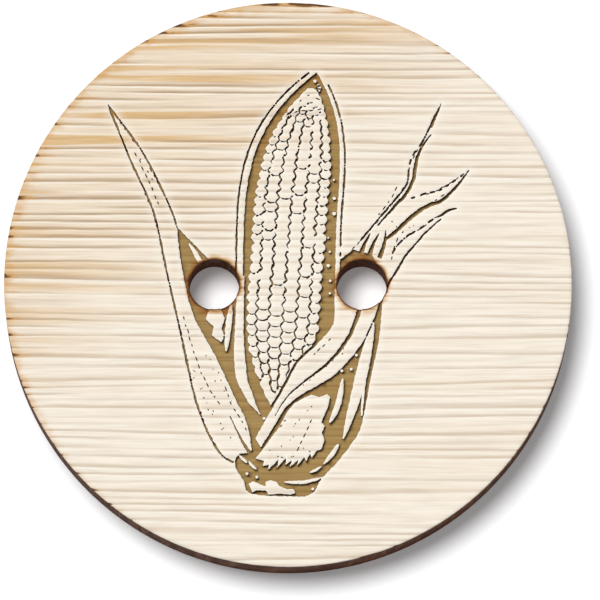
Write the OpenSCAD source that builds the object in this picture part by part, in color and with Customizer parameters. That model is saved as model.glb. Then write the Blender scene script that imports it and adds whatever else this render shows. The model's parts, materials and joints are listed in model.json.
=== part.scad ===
// Round two-hole wooden button with an ear of corn engraved in its face.
// The back lies on the plane z = 0, the engraved face looks up, the sewing holes lie along X
// and the tip of the ear points along +Y. All sizes are in millimetres.

/* [Blank] */
// Diameter of the button
button_d = 25; // [20:0.5:40]
// Thickness of the wood
board_t = 3; // [2:0.25:5]
// Width of the sanded break on both rims
edge_break = 0.08; // [0.02:0.02:0.3]

/* [Sewing holes] */
// Diameter of each hole
hole_d = 2.2; // [1.4:0.1:3]
// Distance between the hole centres
hole_spacing = 6.5; // [5:0.1:8]

/* [Engraved figure] */
// Depth of the engraving below the face
engrave_depth = 0.3; // [0.1:0.05:0.8]
// Plain wood left above and below the figure
figure_margin = 3.1; // [2:0.1:5]
// Width of the engraved outlines
line_w = 0.1; // [0.06:0.01:0.2]
// Strip of wrapper leaf left standing on both sides of the ear
wrapper_w = 0.3; // [0.15:0.01:0.5]
// Engraved band between the wrapper and the kernels
band_w = 0.46; // [0.2:0.01:0.6]

/* [Kernels] */
// Columns of kernels that face the viewer
kernel_columns = 6; // [4:1:8]
// Height of a kernel at the middle of the ear
kernel_h = 0.42; // [0.3:0.01:0.8]
// Groove between neighbouring kernels
kernel_gap = 0.09; // [0.06:0.01:0.14]

/* [Hidden] */
$fn = 144;
wood = "#efe1cd";
overcut = 0.2;
figure_h = button_d - 2 * figure_margin;
// The figure is drawn on a grid that is 100 units high, with the stub at 0 and the tip at 100
unit = figure_h / 100;
left_hole = [-hole_spacing / 2, figure_h / 2];
right_hole = [hole_spacing / 2, figure_h / 2];
// The ear leans to the right and its tip bends a little further over
ear_lean = 4.2;
ear_bend = 3.2 * unit;
ear_base = unit * [-2.9, 19.5];
ear_l = 78.5 * unit;
ear_w = 16.8 * unit;
low_shoulder = 24 * unit;
high_shoulder = 46.5 * unit;
// The wrapper stands more upright than the ear, so the band beside it widens on the right toward the base
wrapper_lean = 1.2;
// The columns sweep this many degrees of the round ear, so the outer ones look narrower
column_sweep = 112;
kernel_rows = round(ear_l / kernel_h);
half_rows = 2 * kernel_rows;
// How far the groove beside a kernel swings out round it
groove_swing = 0.07;
// Columns narrower than this are not parted
least_column = 2.3 * kernel_gap;
wobble = rands(-1, 1, 97, 71);
// Share by which the kernels grow toward the base and shrink toward the tip
kernel_taper = 0.2;

// Point of the smooth curve between p1 and p2
function curve_point(p0, p1, p2, p3, t) =
    (2 * p1 + (p2 - p0) * t + (2 * p0 - 5 * p1 + 4 * p2 - p3) * t * t
        + (3 * p1 - p0 - 3 * p2 + p3) * t * t * t) / 2;

// Point at a share from 0 to 1 of the smooth curve through the points p
function along(p, share) =
    let (last = len(p) - 1, k = min(floor(share * last), last - 1))
    curve_point(p[max(k - 1, 0)], p[k], p[k + 1], p[min(k + 2, last)], share * last - k);

// Unit vector to the left of the curve at a share of its length
function left_of(p, share) =
    let (d = along(p, min(share + 0.01, 1)) - along(p, max(share - 0.01, 0)))
    [-d.y, d.x] / norm(d);

// Point beside the curve, to the left of it for a positive distance
function beside(p, share, distance) = along(p, share) + distance * left_of(p, share);

function smooth(p, steps) = [for (i = [0 : steps]) along(p, i / steps)];

function reversed(p) = [for (i = [len(p) - 1 : -1 : 0]) p[i]];

// Width at a share of the way from w[0] over w[1] in the middle to w[2]
function swell(w, share) =
    w[0] * pow(1 - share, 2) + (4 * w[1] - w[0] - w[2]) * share * (1 - share) + w[2] * pow(share, 2);

// Area between two smooth edges that are both drawn from the same end
module blade(edge_a, edge_b, steps) {
    polygon(concat(smooth(edge_a, steps), reversed(smooth(edge_b, steps))));
}

// Line along the points p whose width swells from w[0] over w[1] to w[2]
module brush(p, w, steps) {
    polygon(concat(
        [for (i = [0 : steps]) beside(p, i / steps, swell(w, i / steps) / 2)],
        [for (i = [steps : -1 : 0]) beside(p, i / steps, -swell(w, i / steps) / 2)]
    ));
}

// Pointed stroke along the part of the points p between the shares a and b
module stroke(p, a, b) {
    stations = [for (k = [0.15, 0.5, 0.85]) a + (b - a) * k];
    polygon(concat(
        [along(p, a)],
        [for (share = stations) beside(p, share, line_w / 2)],
        [along(p, b)],
        [for (share = reversed(stations)) beside(p, share, -line_w / 2)]
    ));
}

// Outline along the points p, broken into strokes of uneven length
module broken_line(p, count, filled, seed) {
    slip = rands(-0.1, 0.1, 2 * count, seed);
    for (i = [0 : count - 1]) {
        stroke(p, max(i + slip[2 * i], 0) / count, min(i + filled + slip[2 * i + 1], count) / count);
    }
}

// Point at height s along the ear and at distance t across it
function on_ear(s, t) =
    ear_base + s * [sin(ear_lean), cos(ear_lean)] + (t + tip_bend(s)) * [cos(ear_lean), -sin(ear_lean)];

function tip_bend(s) = ear_bend * pow(max(s - high_shoulder, 0) / (ear_l - high_shoulder), 2);

// Half the width of the ear at height s, with the outline moved out by grow
function ear_half(s, grow) =
    let (
        low = max(low_shoulder - s, 0) / (low_shoulder + grow),
        high = max(s - high_shoulder, 0) / (ear_l - high_shoulder + grow)
    )
    (ear_w / 2 + grow) * max(1 - pow(low, 2) - pow(high, 3), 0);

function wrapper_shift(s) = tan(ear_lean - wrapper_lean) * max(high_shoulder - s, 0);

// One side of the wrapper from height s0 to height s1, with more points near both ends
function ear_side(side, grow, s0, s1, steps) = [
    for (i = [0 : steps])
        let (s = s0 + (s1 - s0) * (1 - cos(180 * i / steps)) / 2)
        on_ear(s, side * ear_half(s, grow) + wrapper_shift(s))
];

// Share of the half width at which a column of kernels begins
function column_edge(c) = sin(column_sweep * (c / kernel_columns - 0.5)) / sin(column_sweep / 2);

// Kernels of neighbouring columns interlock, so heights are counted in half rows, taller at the base
function half_row(h) =
    let (x = h / half_rows)
    ear_l * x * (1 + kernel_taper - kernel_taper * x);

// Point of the groove on the left of column c, which swings to and fro between the kernels
function groove_at(c, h, shift) =
    let (
        s = half_row(h),
        narrow = 2 * ear_half(s, 0) / ear_w,
        swing = groove_swing * (2 * abs((h + c) % 2 - 1) - 1 + 0.35 * wobble[(31 * c + floor(h)) % 97])
    )
    on_ear(s, column_edge(c) * ear_half(s, 0) + narrow * swing + shift);

// Whether the groove rises to the right just above half row h
function rising(c, h) = (floor(h) + c) % 2 == 1;

// The grooves are widest where they rise to the right, on the shaded side of a kernel
function groove_w(c, h) =
    kernel_gap * (rising(c, h) && h % 1 > 0 ? 1.35 : 0.85) * (1 + 0.25 * wobble[(17 * c + floor(h)) % 97]);

module groove_run(c, a, b) {
    stations = [for (h = [a + 0.5 : 0.5 : b - 0.5]) if (h % 1 == 0 || rising(c, h)) h];
    polygon(concat(
        [groove_at(c, a + 0.15, 0)],
        [for (h = stations) groove_at(c, h, -groove_w(c, h) / 2)],
        [groove_at(c, b - 0.15, 0)],
        [for (h = reversed(stations)) groove_at(c, h, groove_w(c, h) / 2)]
    ));
}

// Chance that a groove stops at half row h, which is lower near the base, where the kernels stand apart
function stop_chance(h) = h < 20 ? 0.12 : 0.4;

// Width of the narrower column beside the groove on the left of column c
function narrower_column(c, s) =
    ear_half(s, 0) * min(column_edge(c + 1) - column_edge(c), column_edge(c) - column_edge(c - 1));

// Groove on the left of column c, broken into runs of uneven length
module column_groove(c) {
    draw = rands(0, 1, half_rows + 1, 61 + c);
    open = [for (h = [1 : half_rows - 1]) if (narrower_column(c, half_row(h)) > least_column) h];
    last = open[len(open) - 1];
    stops = [for (h = open) if (h == open[0] || h == last || draw[h] < stop_chance(h)) h];
    for (i = [0 : len(stops) - 2]) {
        if (stops[i + 1] - stops[i] > 1 || rising(c, stops[i])) {
            groove_run(c, stops[i], stops[i + 1]);
        }
    }
}

// Groove under the kernel of column c that begins at half row h, between the shares a and b of its width
module row_groove(c, h, a, b) {
    start = groove_at(c, h, 0);
    across = groove_at(c + 1, h, 0) - start;
    thick = 0.8 * kernel_gap * [sin(ear_lean), cos(ear_lean)];
    polygon([
        start + a * across,
        start - thick + (0.7 * a + 0.3 * b) * across,
        start - thick + (0.3 * a + 0.7 * b) * across,
        start + b * across,
        start + (a + b) / 2 * across - thick / 4
    ]);
}

// Chance that a groove parts two kernels of column c, which is high at the base, the sides and the tip
function part_chance(c, h) =
    h < 20 ? 0.9 : c == 0 || c == kernel_columns - 1 ? 0.5 : 0.13 + 0.5 * pow(h / half_rows, 3);

// Grooves under the kernels of column c, which stop short in the outer columns
module row_grooves(c) {
    draw = rands(0, 1, half_rows + 1, 81 + c);
    for (h = [2 + c % 2 : 2 : half_rows - 3]) {
        reach = h < 20 ? 1 : 0.4 + 0.6 * draw[h - 1];
        wide = ear_half(half_row(h), 0) * (column_edge(c + 1) - column_edge(c)) > least_column;
        if (wide && draw[h] < part_chance(c, h)) {
            row_groove(c, h, c == kernel_columns - 1 ? 1 - reach : 0, c == 0 ? reach : 1);
        }
    }
}

module kernel_grooves() {
    for (c = [0 : kernel_columns - 1]) {
        row_grooves(c);
        if (c > 0) {
            column_groove(c);
        }
    }
}

// Outer edge of the kernels, which bulges between two notches
function kernel_edge(side) = [
    for (h = [1.5 : 0.5 : half_rows - 1.5])
        let (
            s = half_row(h),
            narrow = 2 * ear_half(s, 0) / ear_w,
            notch = abs(sin(90 * (h + (side < 0 ? 0 : 1)))),
            uneven = 0.5 * wobble[(7 * round(h / 2) + side + 1) % 97],
            bulge = groove_swing * narrow * (2 * notch - 1.2 + uneven)
        )
        on_ear(s, side * (ear_half(s, 0) + bulge))
];

// The kernels as one standing piece that runs on behind the husk
module kernel_field() {
    polygon(concat(kernel_edge(-1), reversed(kernel_edge(1))));
}

// Specks of half-formed kernels above the kernel field and in the shaded band
module kernel_specks() {
    slip = rands(-1, 1, 84, 47);
    for (i = [0 : 2 : 9]) {
        s = ear_l + kernel_h * (0.12 * i - 0.9 + 0.2 * slip[2 * i]);
        translate(on_ear(s, kernel_h * (0.3 + 0.5 * slip[2 * i + 1]))) {
            circle(d = kernel_gap * (1.5 + 0.5 * slip[2 * i]), $fn = 5);
        }
    }
    for (i = [10 : 3 : 31]) {
        s = ear_l * (0.016 * i + 0.02 * slip[2 * i]) + 0.2 * ear_l;
        out = band_w * (0.5 + 0.25 * slip[2 * i + 1]);
        translate(on_ear(s, ear_half(s, out) + 0.5 * wrapper_shift(s))) {
            rotate(90 * slip[2 * i]) {
                circle(d = kernel_gap * (1.5 + 0.6 * slip[2 * i + 2]), $fn = 5);
            }
        }
    }
}

module kernels() {
    difference() {
        kernel_field();
        kernel_grooves();
        behind_husk();
    }
    kernel_specks();
}

module ear_ground() {
    blade(
        ear_side(-1, band_w, -band_w, ear_l + band_w, 24),
        ear_side(1, band_w, -band_w, ear_l + band_w, 24),
        24
    );
}

// Broken outlines of the wrapper, which is narrower on the shaded side
module wrapper_lines() {
    broken_line(ear_side(-1, band_w + wrapper_w, 29 * unit, ear_l + band_w, 14), 8, 0.78, 21);
    broken_line(ear_side(1, band_w + 0.7 * wrapper_w, 38 * unit, ear_l, 12), 7, 0.72, 22);
}

// Foot of the wrapper left of the ear, which ends in a point above the husk
module wrapper_foot() {
    left = [[-12, 52], [-12.1, 46.4], [-12.5, 38], [-12.6, 33], [-12.2, 28], [-10.6, 24.6], [-9, 21.8]];
    right = [[-10.2, 52], [-10.3, 46.4], [-10.4, 38], [-9.9, 31.3], [-9.5, 27.4], [-8.4, 24.6], [-7.5, 21.6]];
    point = [-6.4, 19.2];
    blade(unit * concat(left, [point]), unit * concat(right, [point]), 14);
}

left_outer = unit * [
    [-42, 92], [-37, 79.5], [-31.5, 67], [-28.6, 54], [-25, 38],
    [-21.8, 23.5], [-18.6, 14.8], [-15.4, 9.7], [-12.2, 7.8]
];
left_inner = unit * [[-42, 92], [-34, 81], [-28, 69], [-26, 63.5]];
left_fold = unit * [[-13.6, 19], [-11.8, 15.2], [-10.2, 12.2], [-8.6, 9.8]];
left_shade_edge = unit * [
    [-26, 63.5], [-25.2, 56], [-22.5, 43.5], [-18, 35],
    [-14.9, 28.7], [-12.2, 22.6], [-9.6, 17.4], [-8.4, 10.4]
];

module left_leaf() {
    broken_line(left_outer, 10, 0.78, 31);
    broken_line(left_inner, 6, 0.76, 32);
    brush(left_fold, unit * [0.2, 0.5, 1.1], 6);
}

// Shade between the long left leaf and the ear, with its top corner under the left hole
module left_shade() {
    polygon(concat(
        smooth(left_shade_edge, 16),
        unit * [[-6, 9], [-4, 14], [-2, 17], [-2, 24], [-6, 32], [-9, 44], [-11.2, 46.8]],
        [left_hole, left_hole + hole_d * [-0.08, 0.47]]
    ));
}

// Flakes of leaf left standing in the left shade
module left_flakes() {
    brush(unit * [[-23.2, 59.6], [-21.5, 57], [-20, 54.2]], unit * [0.3, 1.1, 1.2], 4);
    blade(
        unit * [[-18.2, 44.4], [-19.2, 41.8], [-17.4, 40], [-17.8, 38], [-15.6, 36.4]],
        unit * [[-16, 44.4], [-14.8, 42], [-15.6, 39.6], [-14.8, 38], [-15.6, 36.4]],
        8
    );
    brush(unit * [[-13.3, 45.2], [-14, 39.6], [-14.5, 34.2]], unit * [0.5, 1.4, 0.3], 6);
}

husk_steps = 14;
husk_upper = concat([right_hole + hole_d * [-0.33, -0.34]],
    unit * [[10.6, 40.4], [7, 36], [2.4, 31.6], [-0.4, 26.4], [-4, 20.2], [-7.6, 13.8]]);
husk_fold = concat([right_hole + hole_d * [-0.02, -0.4]],
    unit * [[14.8, 38.5], [10, 32], [4.5, 27.6], [-0.2, 23.6], [-3, 19]]);
husk_lower = concat([right_hole + hole_d * [0.35, -0.34]],
    unit * [[19, 39], [15, 33], [10, 28], [4, 24.6], [-0.4, 21.2], [-3, 17], [-6.4, 11.6]]);
base_right = concat([right_hole + hole_d * [0.42, -0.25]],
    unit * [[21.3, 37], [19.4, 28], [17.6, 18.5], [16, 14], [11, 7.5], [7.6, 4], [6.4, 1.4], [4, 0]]);
base_left = unit * [
    [-8, 12], [-9, 10.2], [-11, 10.2], [-12.5, 8.4], [-11.8, 6],
    [-10.3, 3.7], [-9.9, 1.6], [-8.2, 0.6], [-5, 0.2]
];

// Ground under the husk, the hanging leaf and the stub
module husk_ground() {
    polygon(concat(
        smooth(husk_upper, husk_steps),
        smooth(base_left, 16),
        reversed(smooth(base_right, 18))
    ));
}

// Part of the ear that the husk hides, with a narrow shade along the husk's upper edge
module behind_husk() {
    polygon(concat(
        [for (i = [0 : husk_steps]) beside(husk_upper, i / husk_steps, -0.12)],
        unit * [[-8, 0], [40, 0]]
    ));
}

// Front lobe of the husk with a ragged foot
module husk_lobe() {
    polygon(concat(
        smooth(unit * [[-6.6, 10.2], [-4.6, 12.9], [-2.4, 15.9], [-0.9, 18.5], [1.4, 21.9], [5.6, 24]], 10),
        unit * [[7.3, 23.4], [9.2, 24.1], [9.9, 23.4], [9.1, 20.5], [7.8, 17.4], [8.6, 16.6], [7.9, 15]],
        unit * [[8.5, 13.2], [7.8, 11.2], [6.8, 10.9], [5.6, 9.2], [5.2, 10.2], [4.2, 8.3], [3.8, 9.4]],
        unit * [[2.2, 7.3], [2.4, 8.7], [0.5, 7], [0.9, 8.5], [-0.6, 7.5], [-0.4, 9.3], [-2.6, 6.7]],
        unit * [[-2.1, 8.8], [-4.6, 6.4], [-4.4, 7.6], [-5.9, 7.2], [-5.6, 8.4], [-7.6, 9]]
    ));
}

// Pieces of the husk, the hanging leaf and the stub that stay at face height
module husk_islands() {
    difference() {
        blade(husk_upper, husk_lower, husk_steps);
        brush(husk_fold, unit * [1.2, 0.6, 0.2], 9);
    }
    husk_lobe();
    brush(unit * [[20, 41], [18.2, 33], [16, 24], [12.9, 13.6]], unit * [0.3, 2.7, 0.3], 9);
    brush(unit * [[18.3, 30], [17.7, 25], [17.2, 19]], unit * [0.2, 0.6, 0.3], 5);
    brush(unit * [[12.8, 27.8], [11.8, 22], [9.8, 17.4]], unit * [0.3, 1.4, 0.3], 6);
    brush(unit * [[11.8, 12.3], [10.4, 10.1], [8.4, 7.7]], unit * [0.5, 1, 0.3], 5);
    brush(unit * [[7.7, 7.1], [6.4, 6.2], [5.1, 5.7]], unit * [0.3, 0.6, 0.2], 4);
    brush(unit * [[8, 4.5], [3.6, 3.4], [-0.8, 3.5]], unit * [0.3, 0.8, 0.3], 6);
    brush(unit * [[-11.4, 9.7], [-10.5, 8.8], [-9.6, 8]], unit * [0.2, 0.7, 0.3], 4);
    brush(unit * [[-9.2, 8.3], [-8.3, 7.2], [-7.4, 6.5]], unit * [0.3, 0.6, 0.3], 4);
    stub_piece();
    for (spot = [[-9.6, 5.4], [-7.3, 4.6], [-5.6, 18.4], [12.6, 29.6], [14.8, 30], [16, 33.3], [5.8, 1.8]]) {
        translate(unit * spot) {
            circle(d = 0.75 * unit, $fn = 5);
        }
    }
}

// Ragged end of the stub
module stub_piece() {
    polygon(unit * [
        [-9.2, 3.1], [-8, 3.6], [-6.6, 2.9], [-5.2, 2.5], [-5.2, 3.5], [-4.1, 3.9],
        [-2.6, 3.4], [-1.9, 2.4], [-0.4, 1.8], [1.2, 1.8], [1.7, 0.9], [0.6, 0.5],
        [-2, 0.7], [-4.6, 0.5], [-5.1, 1.4], [-7.4, 1.5], [-8.4, 1]
    ]);
}

leaf_a = unit * [
    [33.4, 87.4], [31.4, 83.4], [29.4, 80.6], [28.4, 77.8],
    [27.9, 73.8], [25.4, 70.3], [21.2, 65.4], [15.4, 58.4]
];
leaf_a_tip = unit * [[35.9, 92.6], [34.6, 89.8], [33.4, 87]];
leaf_a_shade = unit * [
    [33.6, 85.4], [31.4, 82.4], [30, 79], [29.5, 75], [27.6, 71.2], [24.6, 68], [21, 63.8]
];
leaf_b = unit * [[41, 75.8], [38.1, 73.8], [35.3, 72.1], [31.9, 71.3], [28, 69.9]];
leaf_b_shade = unit * [
    [42.4, 76.9], [39.6, 73.2], [36, 69.7], [32.4, 68.4], [28.6, 65.6], [25, 62.2], [22.6, 60.4]
];
leaf_c = unit * [[36.2, 66.4], [33.6, 65.1], [31.4, 63.4], [28, 61.4], [25.4, 58.9], [24.2, 56.6]];
leaf_c_tip = unit * [[39.6, 67.9], [37.8, 67.5], [36, 66.4]];
leaf_c_shade = concat(unit * [[35.9, 65.4], [32.4, 62.4], [30, 59.6], [27.4, 56.6], [25.6, 53.4]],
    [right_hole + hole_d * [0.54, 0.02], right_hole + hole_d * [0.49, -0.18]]);

module right_leaves() {
    broken_line(leaf_a, 9, 0.7, 41);
    broken_line(leaf_b, 7, 0.6, 42);
    broken_line(leaf_c, 6, 0.76, 43);
    brush(leaf_a_tip, unit * [0.2, 0.7, 0.8], 4);
    brush(leaf_a_shade, unit * [0.2, 0.9, 0.3], 10);
    brush(leaf_b_shade, unit * [0.3, 1, 0.7], 11);
    brush(leaf_c_tip, unit * [0.2, 0.7, 0.5], 4);
    brush(leaf_c_shade, unit * [0.3, 0.55, 0.5], 10);
}

collar_outline = [
    [-0.45, 0.2], [-0.44, 0.5], [-0.3, 0.6], [-0.18, 0.7], [0.04, 0.64], [0.2, 0.6], [0.36, 0.3]
];

collar_veins = unit * [
    [[17, 57], [18, 59.6], [19.3, 62]],
    [[19.1, 56.8], [20, 59.6], [21.3, 62]],
    [[21.4, 56.2], [22.6, 59.6], [22.9, 62.8]]
];

// Shade above the right hole and the veins that fan out of it into the leaves
module collar() {
    polygon([for (p = collar_outline) right_hole + hole_d * p]);
    for (vein = collar_veins) {
        brush(vein, unit * [1.2, 0.8, 0.2], 5);
    }
}

// Everything that is burnt away
module figure() {
    difference() {
        union() {
            ear_ground();
            left_shade();
            husk_ground();
        }
        kernels();
        wrapper_foot();
        left_flakes();
        husk_islands();
    }
    wrapper_lines();
    left_leaf();
    right_leaves();
    collar();
}

module blank() {
    rotate_extrude() {
        polygon([
            [0, 0],
            [button_d / 2 - edge_break, 0],
            [button_d / 2, edge_break],
            [button_d / 2, board_t - edge_break],
            [button_d / 2 - edge_break, board_t],
            [0, board_t]
        ]);
    }
}

module button() {
    color(wood) {
        difference() {
            blank();
            for (side = [-1, 1]) {
                translate([side * hole_spacing / 2, 0, -overcut]) {
                    cylinder(d = hole_d, h = board_t + 2 * overcut);
                }
            }
            translate([0, -figure_h / 2, board_t - engrave_depth]) {
                linear_extrude(engrave_depth + overcut) {
                    figure();
                }
            }
        }
    }
}

union() {
    button();
}
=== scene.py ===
"""Looks of a round wooden sew-through button with an ear of corn engraved in its face.

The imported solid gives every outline. Its face is meshed again on those outlines, finely enough to
carry the relief of the grain, and the wood is dressed as sanded, browned and charred by the cutter.
Lengths are in millimetres up to the point where the mesh is made, which is in metres.
"""

import json
import logging
import math
from dataclasses import dataclass, field
from enum import Enum, IntEnum
from typing import NamedTuple

import bpy
import numpy as np
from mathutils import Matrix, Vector
from mathutils.bvhtree import BVHTree
from mathutils.geometry import delaunay_2d_cdt
from mathutils.kdtree import KDTree


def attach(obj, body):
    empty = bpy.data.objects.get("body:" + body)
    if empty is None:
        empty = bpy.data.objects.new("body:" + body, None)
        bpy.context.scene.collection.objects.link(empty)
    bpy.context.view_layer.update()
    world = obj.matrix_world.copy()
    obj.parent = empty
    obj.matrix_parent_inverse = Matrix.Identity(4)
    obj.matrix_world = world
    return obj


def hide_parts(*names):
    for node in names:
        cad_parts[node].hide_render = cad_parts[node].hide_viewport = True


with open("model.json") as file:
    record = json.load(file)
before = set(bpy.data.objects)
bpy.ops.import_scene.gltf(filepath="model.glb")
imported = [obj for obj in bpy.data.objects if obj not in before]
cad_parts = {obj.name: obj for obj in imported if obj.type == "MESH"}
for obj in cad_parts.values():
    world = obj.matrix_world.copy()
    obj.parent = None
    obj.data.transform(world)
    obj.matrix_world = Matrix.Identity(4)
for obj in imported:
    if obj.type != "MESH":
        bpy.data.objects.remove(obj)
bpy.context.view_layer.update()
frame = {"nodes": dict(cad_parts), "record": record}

log = logging.getLogger("button")

MM = 0.001
DOWN = Vector((0, 0, -1))
NODE = "button"
BODY = "root"
BAKE_MAP = "OFBake"
IMAGE_WIDTH = 600
# How far from the wall of a hole a point of an outline may lie and still count as on it.
ON_WALL = 0.02

# How far the corners of a level triangle may differ in height.
FLAT_SLACK = 0.001
# How far from the face a level triangle may lie and still belong to it.
LEVEL_SLACK = 0.01
# Steps per millimetre to which points of the solid are matched.
MATCH_STEPS = 1e4
# How near to each other points of a drawing are welded.
WELD = 1e-5
# Range of the shifts of waves that are drawn at random.
SHIFTS = (0, 6)
# Length that stands in for none, so that it can be divided by.
NO_LENGTH = 1e-9
# Fibre values between which the dark and the pale fibres fade in and the roughness changes.
DARK_FIBRE = (0.42, 0.72)
PALE_FIBRE = (0.5, 0.28)
ROUGH_FIBRE = (0.2, 0.8)
FIBRE_HEIGHT = 0.02

Socket = bpy.types.NodeSocket
Number = float | Socket
# What the inputs of a node are set to or linked to, by name or number.
Inputs = dict[str | int, object]
# Type and default value of the sockets of a node group, by name.
Sockets = dict[str, tuple[str, object]]
Colour = tuple[float, float, float, float]
Row = list[tuple[float, float]]

WHITE: Colour = (1.0, 1.0, 1.0, 1.0)


class Level(IntEnum):
    """Heights of the engraved side, from the highest to the lowest."""

    FACE = 0
    NICK = 1
    FLOOR = 2
    OPEN = 3


class Finish(IntEnum):
    """Finishes of the wood, in the order of the piece's material slots."""

    SANDED = 0
    BROWNED = 1
    CHARRED = 2


LEVEL_FINISH = {
    Level.FACE: Finish.SANDED,
    Level.NICK: Finish.CHARRED,
    Level.FLOOR: Finish.BROWNED,
}


class Mark(Enum):
    """Names of the values that the mesh carries for its relief and its materials."""

    GRAIN = "grain_share"
    EDGE = "edge_rub_and_painted_light"
    FINISH = "finish"


class StrokeKind(Enum):
    """The kinds of fine strokes nicked into the face."""

    VEIN = "vein"
    STIPPLE = "stipple"
    LINK = "link"


def shade(red: int, green: int, blue: int) -> Colour:
    """Turns a colour as seen on a screen into the linear colour that a shader takes.

    Args:
        red: Red from 0 to 255.
        green: Green from 0 to 255.
        blue: Blue from 0 to 255.

    Returns:
        The linear colour with full alpha.
    """
    parts = []
    for value in (red / 255, green / 255, blue / 255):
        parts.append(value / 12.92 if value <= 0.04045 else ((value + 0.055) / 1.055) ** 2.4)
    return parts[0], parts[1], parts[2], 1.0


class Sketch:
    """Short calls that add nodes to a node tree and wire them together."""

    def __init__(self, tree: bpy.types.NodeTree) -> None:
        """Keeps the tree that the calls add to."""
        self.tree = tree

    def fill(self, node: bpy.types.Node, inputs: Inputs) -> None:
        """Links inputs of a node to other sockets, or sets their values."""
        for key, value in inputs.items():
            if isinstance(value, Socket):
                self.tree.links.new(value, node.inputs[key])
            else:
                node.inputs[key].default_value = value

    def node(self, kind: str, inputs: Inputs, **settings: object) -> bpy.types.NodeOutputs:
        """Adds a node.

        Args:
            kind: Blender's name for the type of node.
            inputs: What its inputs are set to or linked to.
            settings: Properties of the node.

        Returns:
            The outputs of the new node.
        """
        made = self.tree.nodes.new(kind)
        for name, value in settings.items():
            setattr(made, name, value)
        self.fill(made, inputs)
        return made.outputs

    def math(self, operation: str, *terms: Number) -> Socket:
        """Adds a Math node.

        Args:
            operation: Blender's name for the operation.
            terms: One to three numbers or sockets.

        Returns:
            The result.
        """
        return self.node("ShaderNodeMath", dict(enumerate(terms)), operation=operation)[0]

    def times(self, *terms: Number) -> Socket:
        """Returns the product of numbers."""
        product = terms[0]
        for term in terms[1:]:
            product = self.math("MULTIPLY", product, term)
        return product

    def upper_left(self, x: Number, y: Number, way: tuple[float, float]) -> Socket:
        """Returns how far a place lies to the upper left, by the weights of left and up."""
        return self.math("SUBTRACT", self.times(y, way[1]), self.times(x, way[0]))

    def scaled(self, vector: Socket, factor: Number) -> Socket:
        """Returns a vector times a number."""
        terms = {0: vector, "Scale": factor}
        return self.node("ShaderNodeVectorMath", terms, operation="SCALE")[0]

    def parts(self, vector: Socket) -> list[Socket]:
        """Returns the three parts of a vector."""
        return list(self.node("ShaderNodeSeparateXYZ", {0: vector}))

    def vector(self, *parts: Number) -> Socket:
        """Returns a vector made of three numbers."""
        return self.node("ShaderNodeCombineXYZ", dict(enumerate(parts)))[0]

    def noise(self, x: Number, y: Number, z: Number, detail: float = 1.0) -> Socket:
        """Adds smooth noise that is about one unit wide.

        Args:
            x: First coordinate.
            y: Second coordinate.
            z: Third coordinate.
            detail: Number of finer layers.

        Returns:
            The noise, from 0 to 1.
        """
        inputs = {"Vector": self.vector(x, y, z), "Scale": 1.0, "Detail": detail}
        return self.node("ShaderNodeTexNoise", inputs, noise_dimensions="3D")[0]

    def ramp(
        self, value: Number, start: Number, end: Number, low: Number = 0.0, high: Number = 1.0
    ) -> Socket:
        """Adds an eased step.

        Args:
            value: The number to read.
            start: Where the step begins.
            end: Where the step ends, which may lie below start.
            low: Result before the step.
            high: Result after the step.

        Returns:
            The result.
        """
        names = ("Value", "From Min", "From Max", "To Min", "To Max")
        inputs = dict(zip(names, (value, start, end, low, high)))
        return self.node("ShaderNodeMapRange", inputs, interpolation_type="SMOOTHSTEP")[0]

    def mix(self, share: Number, first: object, second: object) -> Socket:
        """Adds a colour mix.

        Args:
            share: Share of the second colour.
            first: First colour or socket.
            second: Second colour or socket.

        Returns:
            The mixed colour.
        """
        inputs = {0: share, 6: first, 7: second}
        return self.node("ShaderNodeMix", inputs, data_type="RGBA", clamp_factor=True)[2]


class NodeGroup(Sketch):
    """A new node group with named inputs and outputs."""

    def __init__(self, name: str, family: str, inputs: Sockets, outputs: Sockets) -> None:
        """Makes the group and its sockets.

        Args:
            name: Name of the group.
            family: Blender's name for the type of tree.
            inputs: The group's inputs.
            outputs: The group's outputs.
        """
        super().__init__(bpy.data.node_groups.new(name, family))
        for direction, sockets in (("INPUT", inputs), ("OUTPUT", outputs)):
            for label, (kind, value) in sockets.items():
                made = self.tree.interface.new_socket(
                    name=label, in_out=direction, socket_type="NodeSocket" + kind
                )
                if value is not None:
                    made.default_value = value
        self.given = self.node("NodeGroupInput", {})

    def finished(self, results: Inputs) -> bpy.types.NodeTree:
        """Hands the results to the group's outputs and returns its tree."""
        self.node("NodeGroupOutput", results)
        return self.tree


def in_scene(name: str, data: bpy.types.ID) -> bpy.types.Object:
    """Returns a new object of some data, added to the scene."""
    made = bpy.data.objects.new(name, data)
    bpy.context.scene.collection.objects.link(made)
    return made


GRAIN_FIELDS = ("Ring", "Crest Highlight", "Fibre", "Band")


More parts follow.
